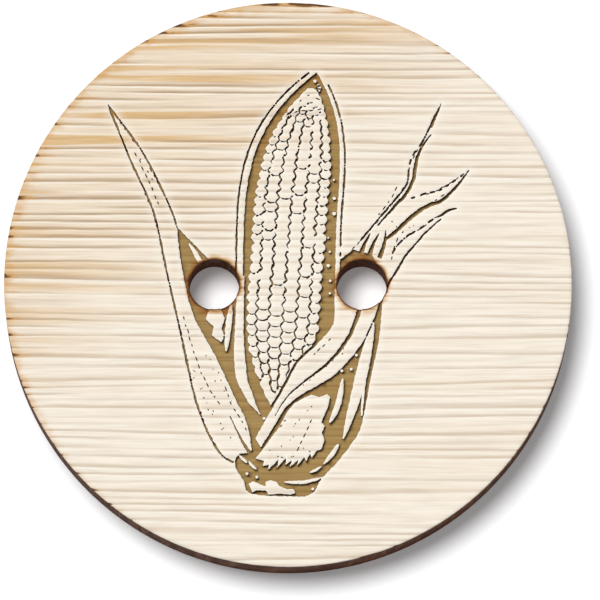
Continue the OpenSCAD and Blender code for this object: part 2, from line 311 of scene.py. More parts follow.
@dataclass(frozen=True)
class Grain:
    """How the grain of the board runs, in millimetres."""

    ring_pitch: float = 0.36
    wander: float = 0.22
    fibre_width: float = 0.09
    ripple: float = 0.045
    unevenness: float = 3.2
    change_with_depth: float = 0.3
    tan_rise: tuple[float, float] = (0.05, 0.06)

    def fields(self, sketch: NodeGroup, place: Socket) -> dict[str, Socket]:
        """Adds the nodes of the grain, the same for the relief and for the colours.

        Args:
            sketch: The group to add to, with the inputs that set the size of the grain.
            place: Place on the button, in metres.

        Returns:
            Ring, the dark lines, the crest, a painted highlight beside them, Fibre and Band, each
            from 0 to 1.
        """
        pitch, wander, fibre = (sketch.given[name] for name in self.sockets())
        x, y, z = sketch.parts(sketch.scaled(place, 1 / MM))
        layer = sketch.times(z, self.change_with_depth)

        def drift(run_x: float, run_y: float, shift: float) -> Socket:
            """Returns slow noise about zero."""
            slow = sketch.noise(
                sketch.math("DIVIDE", x, run_x),
                sketch.math("DIVIDE", y, run_y),
                sketch.math("ADD", layer, shift),
            )
            return sketch.math("SUBTRACT", slow, 0.5)

        sway = sketch.times(drift(run_x=16.0, run_y=5.0, shift=3.0), wander)
        ripple = sketch.times(drift(run_x=1.6, run_y=0.6, shift=11.0), self.ripple)
        across = sketch.math("ADD", sketch.math("ADD", y, sway), ripple)

        def streak(run: float, width: Number, shift: float, detail: float = 1.0) -> Socket:
            """Returns noise that is drawn out along the grain."""
            return sketch.noise(
                sketch.math("DIVIDE", x, run),
                sketch.math("DIVIDE", across, width),
                sketch.math("ADD", layer, shift),
                detail,
            )

        uneven = sketch.times(streak(run=28.0, width=1.5, shift=19.0), self.unevenness)
        rings = sketch.math("DIVIDE", across, pitch)
        phase = sketch.math("FRACT", sketch.math("ADD", rings, uneven))
        # The board is more tanned toward its upper left.
        toward = sketch.upper_left(x, y, self.tan_rise)
        tan = sketch.ramp(toward, start=0.12, end=0.8, low=0.17)
        bold = sketch.ramp(streak(run=12.0, width=0.36, shift=29.0), start=0.34, end=0.62, low=0.08)
        strength = sketch.times(bold, sketch.math("MULTIPLY_ADD", tan, 0.6, 0.4))
        # Each ring darkens slowly from above and ends in a crisp lower edge, with a clear line
        # beyond it that is a painted highlight.
        dark = sketch.times(
            sketch.ramp(phase, start=0.66, end=0.2),
            sketch.ramp(phase, start=0.03, end=0.14),
        )
        clear = sketch.math(
            "MAXIMUM",
            sketch.ramp(phase, start=0.05, end=0.0),
            sketch.ramp(phase, start=0.7, end=0.94),
        )
        patch = streak(run=18.0, width=0.55, shift=53.0)
        tanned = sketch.ramp(patch, start=0.46, end=0.58, low=0.4)
        return {
            "Ring": sketch.times(dark, strength),
            "Crest Highlight": sketch.times(clear, strength),
            "Fibre": streak(run=2.3, width=fibre, shift=41.0, detail=2.0),
            "Band": sketch.times(tanned, tan),
        }

    def sockets(self) -> Sockets:
        """Returns the inputs that set the size of the grain."""
        return {
            "Ring Pitch": ("Float", self.ring_pitch),
            "Wander": ("Float", self.wander),
            "Fibre Width": ("Float", self.fibre_width),
        }

    def group(self) -> bpy.types.NodeTree:
        """Builds the shader group that every finish of the wood reads its grain from.

        Returns:
            The node group.
        """
        inputs = {"Place": ("Vector", None), **self.sockets()}
        outputs = {name: ("Float", None) for name in GRAIN_FIELDS}
        sketch = NodeGroup("wood_grain", "ShaderNodeTree", inputs, outputs)
        return sketch.finished(self.fields(sketch, sketch.given["Place"]))


@dataclass(frozen=True)
class HeatStain:
    """Amber and char that the cutting beam left at the rim and the holes, in millimetres."""

    rim_radius: float
    hole_offset: float
    hole_radius: float
    rim_reach: float = 0.85
    hole_reach: float = 0.5
    rim_bite: float = 0.45
    hole_bite: float = 0.22
    dwell_way: tuple[float, float] = (0.78, 0.62)

    def group(self) -> bpy.types.NodeTree:
        """Builds the shader group of the stain.

        Returns:
            The node group, with masks for the amber stain and for the char.
        """
        inputs = {
            "Place": ("Vector", None),
            "Ring": ("Float", 0.5),
            "Rim Reach": ("Float", self.rim_reach),
            "Hole Reach": ("Float", self.hole_reach),
        }
        outputs = {"Amber": ("Float", None), "Char": ("Float", None)}
        sketch = NodeGroup("heat_stain", "ShaderNodeTree", inputs, outputs)
        given = sketch.given
        x, y, _ = sketch.parts(sketch.scaled(given["Place"], 1 / MM))
        rim_gap = sketch.math("SUBTRACT", self.rim_radius, self._length(sketch, x, y))
        hole_x = sketch.math("SUBTRACT", sketch.math("ABSOLUTE", x), self.hole_offset)
        from_hole = self._length(sketch, hole_x, y)
        hole_gap = sketch.math("SUBTRACT", from_hole, self.hole_radius)
        # The beam dwelt on the upper left of the rim, where it began its cut.
        toward = sketch.upper_left(x, y, self.dwell_way)
        share = sketch.math("DIVIDE", toward, self.rim_radius)
        dwell = sketch.ramp(share, start=-0.55, end=0.85, low=0.16)
        blotch = sketch.noise(x, sketch.times(y, 2.4), 7.0, detail=2.0)
        soak = sketch.times(
            sketch.ramp(given["Ring"], start=0.0, end=0.7, low=0.62, high=1.15),
            sketch.ramp(blotch, start=0.32, end=0.68, low=0.5, high=1.3),
        )
        rim_reach = sketch.times(given["Rim Reach"], soak, dwell)
        hole_reach = sketch.times(given["Hole Reach"], soak)
        soaked = sketch.ramp(soak, start=0.35, end=1.1, low=0.5)
        rim_amber = sketch.times(
            sketch.ramp(rim_gap, start=rim_reach, end=-0.15),
            sketch.times(dwell, soaked),
        )
        hole_amber = sketch.ramp(hole_gap, start=hole_reach, end=0.0)
        deepest = sketch.ramp(soak, start=0.75, end=1.3, high=self.rim_bite)
        rim_bite = sketch.times(deepest, dwell)
        rim_char = sketch.ramp(rim_gap, start=rim_bite, end=0.0)
        hole_bite = sketch.times(soak, self.hole_bite)
        hole_char = sketch.ramp(hole_gap, start=hole_bite, end=0.0)
        amber = sketch.math("MAXIMUM", rim_amber, hole_amber)
        char = sketch.math("MAXIMUM", rim_char, hole_char)
        return sketch.finished({"Amber": amber, "Char": char})

    @staticmethod
    def _length(sketch: Sketch, x: Number, y: Number) -> Socket:
        """Returns the length of a way across and up."""
        return sketch.math("SQRT", sketch.math("ADD", sketch.times(x, x), sketch.times(y, y)))


@dataclass(frozen=True)
class WoodFinish:
    """One finish of the wood: its colours along the grain and how it takes the heat stain."""

    name: str
    pale: Colour
    band: Colour
    ring: Colour
    # Pale colour of wear and pale fibres, also used for painted highlight and painted light.
    rubbed_and_lit: Colour
    amber: Colour
    char: Colour
    ring_share: float
    crest_highlight_share: float
    fibre_share: float
    rough: tuple[float, float]
    bump: float
    gloss: float
    stained: bool = True

    def material(self, grain: bpy.types.NodeTree, stain: bpy.types.NodeTree) -> bpy.types.Material:
        """Builds the material of this finish.

        Args:
            grain: The group that gives the grain.
            stain: The group that gives the heat stain.

        Returns:
            The material.
        """
        made = bpy.data.materials.new(self.name)
        made.use_nodes = True
        sketch = Sketch(made.node_tree)
        shader = made.node_tree.nodes["Principled BSDF"]
        place = sketch.node("ShaderNodeTexCoord", {})["Object"]
        wood = sketch.node("ShaderNodeGroup", {"Place": place}, node_tree=grain)
        ring, crest_highlight, fibre, band = (wood[name] for name in GRAIN_FIELDS)
        colour = sketch.mix(band, self.pale, self.band)
        # Painted highlight on the clear line beside each ring.
        colour = sketch.mix(sketch.times(crest_highlight, self.crest_highlight_share), colour, self.rubbed_and_lit)
        colour = sketch.mix(sketch.times(ring, self.ring_share), colour, self.ring)
        for span, tone in ((DARK_FIBRE, self.ring), (PALE_FIBRE, self.rubbed_and_lit)):
            streak = sketch.ramp(fibre, *span, high=self.fibre_share)
            colour = sketch.mix(streak, colour, tone)
        # Paleness from wear, painted highlight and painted light; below 0, painted shadow.
        rub_and_painted_light = sketch.node("ShaderNodeAttribute", {}, attribute_name=Mark.EDGE.value)["Fac"]
        colour = sketch.mix(rub_and_painted_light, colour, self.rubbed_and_lit)
        colour = sketch.mix(sketch.times(rub_and_painted_light, -1.0), colour, self.char)
        if self.stained:
            inputs = {"Place": place, "Ring": ring}
            heat = sketch.node("ShaderNodeGroup", inputs, node_tree=stain)
            colour = sketch.mix(heat["Amber"], colour, self.amber)
            colour = sketch.mix(heat["Char"], colour, self.char)
        fine = {"Strength": self.bump, "Distance": FIBRE_HEIGHT * MM, "Height": fibre}
        looks = {
            "Base Color": colour,
            "Roughness": sketch.ramp(fibre, *ROUGH_FIBRE, *self.rough),
            "Normal": sketch.node("ShaderNodeBump", fine)[0],
            "Specular IOR Level": self.gloss,
        }
        sketch.fill(shader, looks)
        return made


SANDED_WOOD = WoodFinish(
    name="sanded_wood",
    pale=shade(250, 242, 228),
    band=shade(222, 184, 131),
    ring=shade(177, 149, 116),
    rubbed_and_lit=shade(253, 247, 235),
    amber=shade(208, 152, 74),
    char=shade(72, 38, 15),
    ring_share=0.95,
    crest_highlight_share=0.7,
    fibre_share=0.16,
    rough=(0.55, 0.75),
    bump=0.35,
    gloss=0.2,
)

BROWNED_WOOD = WoodFinish(
    name="browned_wood",
    pale=shade(169, 142, 90),
    band=shade(171, 120, 55),
    ring=shade(128, 95, 50),
    rubbed_and_lit=shade(190, 160, 108),
    amber=shade(150, 92, 42),
    char=shade(60, 30, 11),
    ring_share=0.75,
    crest_highlight_share=0.25,
    fibre_share=0.3,
    rough=(0.7, 0.9),
    bump=0.6,
    gloss=0.12,
)

CHARRED_WOOD = WoodFinish(
    name="charred_wood",
    pale=shade(70, 35, 13),
    band=shade(54, 26, 9),
    ring=shade(44, 20, 7),
    rubbed_and_lit=shade(134, 78, 38),
    amber=shade(54, 26, 9),
    char=shade(40, 18, 6),
    ring_share=0.6,
    crest_highlight_share=0.1,
    fibre_share=0.4,
    rough=(0.6, 0.85),
    bump=0.6,
    gloss=0.1,
    stained=False,
)

# The figure is laid out on a grid that is 100 units high, with the stub at 0 and the tip at 100.
FIGURE_UNIT = 0.188
FIGURE_FOOT = -9.4

VEIN_ROWS: list[Row] = [
    [(-42, 92), (-37, 79.5), (-31.5, 67), (-28.6, 54), (-25, 38), (-21.8, 23.5)]
    + [(-18.6, 14.8), (-15.4, 9.7)],
    [(-42, 92), (-34, 81), (-28, 69), (-26, 63.5)],
    [(33.4, 87.4), (31.4, 83.4), (28.4, 77.8), (27.9, 73.8), (25.4, 70.3), (21.2, 65.4)]
    + [(15.4, 58.4)],
    [(41, 75.8), (38.1, 73.8), (35.3, 72.1), (31.9, 71.3)],
    [(36.2, 66.4), (33.6, 65.1), (31.4, 63.4), (28, 61.4), (25.4, 58.9)],
    [(-35.6, 80.5), (-32.6, 74.5), (-30.4, 69)],
    [(-24.4, 42), (-22, 33.9), (-20.4, 29.4), (-18.7, 25.5), (-16.1, 22)],
    [(-14.6, 25.3), (-13.2, 21.3), (-11.3, 18.6), (-9.8, 16)],
    [(29.3, 70.4), (34.2, 71.8), (37.5, 73.4)],
    [(26.4, 63), (31, 67.6), (36.3, 70.8)],
    [(25.6, 60.5), (24.8, 58.4), (24.4, 56.2)],
    [(-5.2, 12.6), (-3, 15.4), (-0.6, 18)],
    [(5.4, 17.6), (3.6, 14), (2.2, 11.2)],
    [(6.2, 33.4), (9.6, 36.8)],
    [(21.4, 66.6), (23.6, 69.4), (25.4, 72.6)],
    [(0.6, 89.4), (2.4, 91.2), (4.6, 90.6), (7.4, 91.4)],
    [(2.9, 93.2), (4.7, 94.6), (6.9, 93.6)],
]

STIPPLE_ROWS: list[Row] = [
    [(-33.8, 79), (-31.2, 72.6)],
    [(-23.6, 34), (-21.4, 27), (-17.6, 20), (-14, 14)],
    [(-19, 33), (-16.4, 28), (-13.6, 23)],
    [(-1, 12), (2.4, 17), (5, 20.6)],
    [(-3.6, 10.4), (0.4, 9.6), (4.4, 11)],
    [(13, 35.4), (8.4, 30.6), (3.4, 26.6)],
    [(31.8, 66.4), (27, 62), (24.6, 64.4)],
    [(15.4, 29), (14.2, 24.4), (13, 19)],
]


@dataclass(frozen=True)
class StrokeRows:
    """Rows of fine strokes that follow veins or carry on broken lines, in millimetres."""

    kind: StrokeKind
    rows: list[Row]
    spacing: float
    length: float
    width: float
    scatter: float
    seed: int
    growth: tuple[float, float] = (0.55, 1.35)
    sides: int = 6

    def tree(self) -> bpy.types.NodeTree:
        """Builds the tree that sets a stroke at every step along the rows.

        Returns:
            The node group.
        """
        inputs = {
            "Rows": ("Geometry", None),
            "Spacing": ("Float", self.spacing * MM),
            "Length": ("Float", self.length * MM),
            "Width": ("Float", self.width * MM),
            "Scatter": ("Float", self.scatter * MM),
            "Seed": ("Int", self.seed),
            "Finish": ("Material", None),
        }
        outputs = {"Strokes": ("Geometry", None)}
        name = self.kind.value + "_strokes"
        sketch = NodeGroup(name, "GeometryNodeTree", inputs, outputs)
        given = sketch.given
        rows = {"Curve": given["Rows"], "Length": given["Spacing"]}
        steps = {"Curve": sketch.node("GeometryNodeResampleCurve", rows, mode="LENGTH")["Curve"]}
        points = sketch.node("GeometryNodeCurveToPoints", steps, mode="EVALUATED")
        span = {0: (-1.0, -1.0, 0.0), 1: (1.0, 1.0, 0.0), "Seed": given["Seed"]}
        slip = sketch.node("FunctionNodeRandomValue", span, data_type="FLOAT_VECTOR")[0]
        offset = {"Geometry": points["Points"], "Offset": sketch.scaled(slip, given["Scatter"])}
        span = {2: self.growth[0], 3: self.growth[1], "Seed": sketch.math("ADD", given["Seed"], 1)}
        grown = sketch.node("FunctionNodeRandomValue", span, data_type="FLOAT")[1]
        tangent = {"Vector": points["Tangent"]}
        circle = {"Vertices": self.sides, "Radius": 0.5}
        laid = {
            "Points": sketch.node("GeometryNodeSetPosition", offset)[0],
            "Instance": sketch.node("GeometryNodeMeshCircle", circle, fill_type="NGON")[0],
            "Rotation": sketch.node("FunctionNodeAlignRotationToVector", tangent, axis="X")[0],
            "Scale": sketch.vector(sketch.times(given["Length"], grown), given["Width"], 1.0),
        }
        strokes = sketch.node("GeometryNodeInstanceOnPoints", laid)[0]
        real = sketch.node("GeometryNodeRealizeInstances", {0: strokes})[0]
        dress = {"Geometry": real, "Material": given["Finish"]}
        return sketch.finished({0: sketch.node("GeometryNodeSetMaterial", dress)[0]})

    def outlines(self, finish: bpy.types.Material) -> list[np.ndarray]:
        """Runs the tree and reads the outlines of the strokes.

        Args:
            finish: Finish of the bottom of the strokes.

        Returns:
            The corners of each stroke.
        """
        path = bpy.data.curves.new(self.kind.value + "_rows", "CURVE")
        path.dimensions = "3D"
        for row in self.rows:
            spline = path.splines.new("POLY")
            spline.points.add(len(row) - 1)
            for point, (x, y) in zip(spline.points, row):
                height = y * FIGURE_UNIT + FIGURE_FOOT
                point.co = (x * FIGURE_UNIT * MM, height * MM, 0.0, 1.0)
        mesh = grown_mesh(path, self.tree(), {"Finish": finish})
        flat = points_of(mesh)[:, :2]
        found = [flat[list(face.vertices)] for face in mesh.polygons]
        bpy.data.meshes.remove(mesh)
        return found


def points_of(mesh: bpy.types.Mesh) -> np.ndarray:
    """Returns the points of a mesh, in millimetres."""
    places = np.empty(len(mesh.vertices) * 3)
    mesh.vertices.foreach_get("co", places)
    return places.reshape(-1, 3) / MM


def grown_mesh(
    data: bpy.types.ID, tree: bpy.types.NodeTree, inputs: dict[str, object]
) -> bpy.types.Mesh:
    """Runs a Geometry Nodes tree on a mesh or a curve.

    Args:
        data: What the tree starts from.
        tree: The tree.
        inputs: Values of the tree's inputs, by name.

    Returns:
        The result as a plain mesh.
    """
    holder = in_scene(data.name, data)
    modifier = holder.modifiers.new(tree.name, "NODES")
    modifier.node_group = tree
    for item in tree.interface.items_tree:
        if item.item_type == "SOCKET" and item.in_out == "INPUT" and item.name in inputs:
            modifier[item.identifier] = inputs[item.name]
    ready = holder.evaluated_get(bpy.context.evaluated_depsgraph_get())
    mesh = bpy.data.meshes.new_from_object(ready)
    bpy.data.objects.remove(holder)
    return mesh


@dataclass
class Hole:
    """A sewing hole, in millimetres."""

    x: float
    y: float
    radius: float

    def gap(self, points: np.ndarray) -> np.ndarray:
        """Returns the distance of each point from the wall, negative inside the hole."""
        return np.hypot(points[..., 0] - self.x, points[..., 1] - self.y) - self.radius


@dataclass
class FaceOutline:
    """Outlines of the engraved face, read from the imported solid, in millimetres."""

    solid: bpy.types.Object
    holes: list[Hole]
    longest: float = 0.1
    ragged: float = 0.017
    seed: int = 6
    rim_slack: float = 0.05
    tip_turn: float = -0.2
    tip_clear: float = 0.15
    tip_overlap: float = 0.1
    short_break: float = 0.32
    long_break: float = 0.95
    least_facing: tuple[float, float] = (0.5, 0.88)
    corners: np.ndarray = field(init=False)
    face_z: float = field(init=False)
    floor_z: float = field(init=False)
    face_radius: float = field(init=False)
    radius: float = field(init=False)

    def __post_init__(self) -> None:
        """Reads the solid's triangles and finds its levels."""
        mesh = self.solid.data
        mesh.calc_loop_triangles()
        index = np.empty(len(mesh.loop_triangles) * 3, np.int32)
        mesh.loop_triangles.foreach_get("vertices", index)
        self.corners = points_of(mesh)[index].reshape(-1, 3, 3)
        heights = np.unique(np.round(self.corners[self._upward()].mean(1)[:, 2], 2))
        self.floor_z, self.face_z = (float(z) for z in heights[-2:])
        points, _ = self.borders()
        self.face_radius = float(np.hypot(*points.T).max())
        self.radius = float(np.hypot(*self.corners.reshape(-1, 3)[:, :2].T).max())

    def _upward(self) -> np.ndarray:
        """Returns which triangles are level and look up."""
        a, b, c = (self.corners[:, k] for k in range(3))
        cross = np.cross(b - a, c - a)
        return (np.ptp(self.corners[:, :, 2], axis=1) < FLAT_SLACK) & (cross[:, 2] > 0)

    def borders(self) -> tuple[np.ndarray, np.ndarray]:
        """Finds the border of the face.

        Returns:
            The points of the border, and its edges with the face on their left.
        """
        level = self._upward() & (np.abs(self.corners[:, 0, 2] - self.face_z) < LEVEL_SLACK)
        flat = self.corners[level][:, :, :2].reshape(-1, 2)
        steps = np.round(flat * MATCH_STEPS).astype(np.int64)
        keys, index = np.unique(steps, axis=0, return_inverse=True)
        edges, _, right = neighbours(index.reshape(-1, 3), len(keys))
        return keys / MATCH_STEPS, edges[right < 0]

    def engraved(self) -> tuple[list[np.ndarray], np.ndarray]:
        """Splits the outlines of the engraving into short, slightly ragged pieces.

        Returns:
            The runs of points along each outline edge, and the ends of outlines that lie on a
            hole.
        """
        points, edges = self.borders()
        ends = points[edges]
        on_rim = (np.hypot(ends[..., 0], ends[..., 1]) > self.face_radius - self.rim_slack).all(1)
        on_hole = np.zeros(len(edges), bool)
        touching = np.zeros(len(points), bool)
        for hole in self.holes:
            on_hole |= (np.abs(hole.gap(ends)) < ON_WALL).all(1)
            touching |= np.abs(hole.gap(points)) < ON_WALL
        cut = edges[~on_rim & ~on_hole]
        draw = np.random.default_rng(self.seed)
        runs = []
        for a, b in points[cut]:
            count = max(math.ceil(math.dist(a, b) / self.longest), 1)
            along = (b - a) / max(math.dist(a, b), NO_LENGTH)
            slip = draw.uniform(-self.ragged, self.ragged, count + 1)
            slip[[0, -1]] = 0.0
            shares = np.linspace(0, 1, count + 1)[:, None]
            runs.append(a + (b - a) * shares + slip[:, None] * np.array([-along[1], along[0]]))
        anchors = np.unique(cut[touching[cut]])
        return runs, points[anchors]

    def _tips(self) -> tuple[np.ndarray, np.ndarray]:
        """Finds the pointed ends of the engraved lines.

        Returns:
            Their places and the ways they point.
        """
        points, edges = self.borders()
        after = dict(edges.tolist())
        path = np.array([(a, b, after[b]) for a, b in edges.tolist() if b in after])
        before, here, beyond = (points[path[:, k]] for k in range(3))
        come, leave = here - before, beyond - here
        come, leave = (part / np.linalg.norm(part, axis=1)[:, None] for part in (come, leave))
        sharp = (np.cross(come, leave) < 0) & ((come * leave).sum(1) < self.tip_turn)
        for hole in self.holes:
            sharp &= hole.gap(here) > self.tip_clear
        way = (come - leave)[sharp]
        return here[sharp], way / np.linalg.norm(way, axis=1)[:, None]

    def links(self) -> list[Row]:
        """Pairs the tips that point at each other across a break in a line.

        Returns:
            The way across each break, in units of the figure.
        """
        places, ways = self._tips()
        across = places[None] - places[:, None]
        length = np.linalg.norm(across, axis=2)
        facing = (across * ways[:, None]).sum(2) / np.maximum(length, NO_LENGTH)
        least = np.where(length < self.short_break, *self.least_facing)
        fit = (facing > least) & (facing.T > least) & (length < self.long_break)
        cost = np.where(fit, length / np.maximum(facing * facing.T, NO_LENGTH), np.inf)
        best = cost.argmin(1)
        starts = places - self.tip_overlap * ways
        found = []
        for i, j in enumerate(best.tolist()):
            if i < j and best[j] == i and fit[i, j]:
                row = np.array([starts[i], places[i], places[j], starts[j]])
                found.append([tuple(place) for place in (row - (0.0, FIGURE_FOOT)) / FIGURE_UNIT])
        return found

    def level_below(self) -> BVHTree:
        """Returns the solid as a tree that rays can be cast at."""
        count = len(self.corners)
        index = np.arange(count * 3).reshape(-1, 3).tolist()
        return BVHTree.FromPolygons(self.corners.reshape(-1, 3).tolist(), index)


class Plan:
    """Points and lines of a flat drawing that is to be meshed."""

    def __init__(self) -> None:
        """Begins with an empty drawing."""
        self.points: list[np.ndarray] = []
        self.lines: list[tuple[int, int]] = []
        self.count = 0

    def scatter(self, points: np.ndarray) -> int:
        """Adds loose points and returns the number of the first one."""
        first = self.count
        self.points.append(np.asarray(points, float).reshape(-1, 2))
        self.count += len(self.points[-1])
        return first

    def chain(self, points: np.ndarray, closed: bool) -> None:
        """Adds a line through points, back to the first one if it is closed."""
        first, last = self.scatter(points), self.count - 1
        self.lines += [(i, i + 1) for i in range(first, last)]
        if closed:
            self.lines.append((last, first))

    def mesh(self) -> tuple[np.ndarray, np.ndarray, np.ndarray]:
        """Meshes the drawing.

        Returns:
            The points, the triangles, which all turn to the left, and the edges that lie on lines.
        """
        places = [Vector(p) for p in np.concatenate(self.points)]
        xy, edges, faces, _, origin, _ = delaunay_2d_cdt(places, self.lines, [], 0, WELD, True)
        points = np.array([tuple(p) for p in xy])
        triangles = np.array(faces)
        a, b, c = (points[triangles[:, k]] for k in range(3))
        turned = np.cross(b - a, c - a) < 0
        triangles[turned] = triangles[turned][:, ::-1]
        barred = np.array([e for e, source in zip(edges, origin) if source])
        return points, triangles, barred


def neighbours(triangles: np.ndarray, count: int) -> tuple[np.ndarray, np.ndarray, np.ndarray]:
    """Lists the directed edges of triangles and the triangle on either side.

    Args:
        triangles: Corners of the triangles.
        count: Number of points.

    Returns:
        The edges, the triangle on the left of each, and the one on its right or -1.
    """
    edges = np.concatenate([triangles[:, [0, 1]], triangles[:, [1, 2]], triangles[:, [2, 0]]])
    left = np.tile(np.arange(len(triangles)), 3)
    code = edges[:, 0].astype(np.int64) * count + edges[:, 1]
    back = edges[:, 1].astype(np.int64) * count + edges[:, 0]
    order = np.argsort(code)
    found = np.searchsorted(code[order], back).clip(0, len(code) - 1)
    hit = code[order][found] == back
    right = np.where(hit, left[order][found], -1)
    return edges, left, right


def regions(triangles: np.ndarray, barred: np.ndarray, count: int) -> np.ndarray:
    """Numbers the regions of a mesh that its lines part from each other.

    Args:
        triangles: Corners of the triangles.
        barred: Edges that part regions.
        count: Number of points.

    Returns:
        The region of each triangle.
    """
    edges, left, right = neighbours(triangles, count)
    low, high = np.sort(edges, 1).astype(np.int64).T
    bars = np.sort(barred, 1).astype(np.int64)
    joined = (right >= 0) & ~np.isin(low * count + high, bars[:, 0] * count + bars[:, 1])
    parent = list(range(len(triangles)))

    def root(item: int) -> int:
        """Returns the lowest known member of an item's region."""
        while parent[item] != item:
            parent[item] = parent[parent[item]]
            item = parent[item]
        return item

    for a, b in zip(left[joined].tolist(), right[joined].tolist()):
        first, second = root(a), root(b)
        if first != second:
            parent[max(first, second)] = min(first, second)
    return np.array([root(item) for item in range(len(triangles))])


SHARP_ANGLE = 38


class Shell:
    """The closed skin of the button: its points, faces, finishes and places on the bake map."""

    def __init__(self) -> None:
        """Begins with no faces."""
        self.points: list[np.ndarray] = []
        self.grain: list[np.ndarray] = []
        self.rub_and_painted_light: list[np.ndarray] = []
        self.count = 0
        self.faces: list[tuple[int, ...]] = []
        self.finish: list[int] = []
        self.chart: list[tuple[float, float]] = []

    def add_points(self, places: np.ndarray, grain: Number = 0.0, rub_and_painted_light: Number = 0.0) -> np.ndarray:
        """Adds points.

        Args:
            places: Their places.
            grain: Share of the grain's relief that they take.
            rub_and_painted_light: Paleness from wear, painted highlight and painted light; painted
                shadow if below 0.

        Returns:
            Their numbers.
        """
        number = len(places)
        self.points.append(np.asarray(places, float))
        self.grain.append(np.broadcast_to(np.asarray(grain, float), number))
        self.rub_and_painted_light.append(np.broadcast_to(np.asarray(rub_and_painted_light, float), number))
        self.count += number
        return np.arange(self.count - number, self.count)

    def add_face(self, corners: list[int], finish: Finish, chart: Row) -> None:
        """Adds one face with its finish and its corners on the bake map."""
        self.faces.append(tuple(corners))
        self.finish.append(int(finish))
        self.chart += chart

    def mesh(self, name: str) -> bpy.types.Mesh:
        """Makes the mesh, in metres.

        Args:
            name: Name of the mesh.

        Returns:
            The mesh.
        """
        mesh = bpy.data.meshes.new(name)
        mesh.from_pydata((np.concatenate(self.points) * MM).tolist(), [], self.faces)
        for mark, values in ((Mark.GRAIN, self.grain), (Mark.EDGE, self.rub_and_painted_light)):
            layer = mesh.attributes.new(mark.value, "FLOAT", "POINT")
            layer.data.foreach_set("value", np.concatenate(values).astype(np.float32))
        layer = mesh.attributes.new(Mark.FINISH.value, "INT", "FACE")
        layer.data.foreach_set("value", np.array(self.finish, np.int32))
        chart = mesh.uv_layers.new(name=BAKE_MAP)
        chart.uv.foreach_set("vector", np.array(self.chart, np.float32).ravel())
        mesh.polygons.foreach_set("use_smooth", np.ones(len(self.faces), bool))
        mesh.set_sharp_from_angle(angle=math.radians(SHARP_ANGLE))
        return mesh


@dataclass
class Atlas:
    """Where each surface of the button lies on the bake map, which is one unit wide."""

    face_middle: tuple[float, float] = (0.305, 0.69)
    face_scale: float = 0.6 / 25
    back_middle: tuple[float, float] = (0.805, 0.80)
    back_scale: float = 0.36 / 25
    wall_scale: float = 0.02
    wall_row: float = 0.0085
    wall_share: float = 0.8
    least_wall: float = 0.0008
    margin: float = 0.01
    rim_strip: tuple[float, float] = (0.385, 0.04)
    hole_strip: tuple[float, float] = (0.2, 0.1)
    hole_corner: tuple[float, float] = (0.63, 0.62)
    hole_step: float = 0.11
    cursor: list[float] = field(init=False)

    def __post_init__(self) -> None:
        """Begins the rows of walls in the lower left corner of the map."""
        self.cursor = [self.margin, self.margin]

    def on_face(self, points: np.ndarray) -> np.ndarray:
        """Returns places on the map for points of the engraved side."""
        return points[:, :2] * self.face_scale + self.face_middle

    def on_back(self, points: np.ndarray) -> np.ndarray:
        """Returns places on the map for points of the back, which is seen mirrored."""
        return points[:, :2] * (-self.back_scale, self.back_scale) + self.back_middle

    def on_wall(self, places: np.ndarray, first: np.ndarray, top: float) -> Row:
        """Lays one wall of the engraving into the rows of walls.

        Args:
            places: Corners of the wall.
            first: The point that the wall's width is measured from.
            top: Height of the wall's upper edge.

        Returns:
            The corners' places on the map.
        """
        along = np.hypot(*(places[:, :2] - first[:2]).T)
        width = max(along.max() * self.wall_scale, self.least_wall)
        if self.cursor[0] + width > 1 - self.margin:
            self.cursor[:] = [self.margin, self.cursor[1] + self.wall_row]
        u = self.cursor[0] + along / max(along.max(), NO_LENGTH) * width
        upper = self.cursor[1] + self.wall_row * self.wall_share
        v = upper - (top - places[:, 2]) * self.wall_scale
        self.cursor[0] += width
        return list(zip(u.tolist(), v.tolist()))

    def on_ring(self, index: int, turn: float, down: float) -> tuple[float, float]:
        """Returns a place in the strip of the rim, which is 0, or of a hole."""
        if index == 0:
            top, height = self.rim_strip
            return self.margin + (1 - 2 * self.margin) * turn, top - height * down
        (left, top), (width, height) = self.hole_corner, self.hole_strip
        return left + width * turn, top - self.hole_step * index + height * (1 - down)


FINISH_INPUTS = ("Sanded Finish", "Browned Finish", "Charred Finish")


class Ring(NamedTuple):
    """One ring of points round the rim or a hole, below the one before it."""

    far: np.ndarray | float
    height: float
    finish: Finish
    rub_and_painted_light: np.ndarray | float


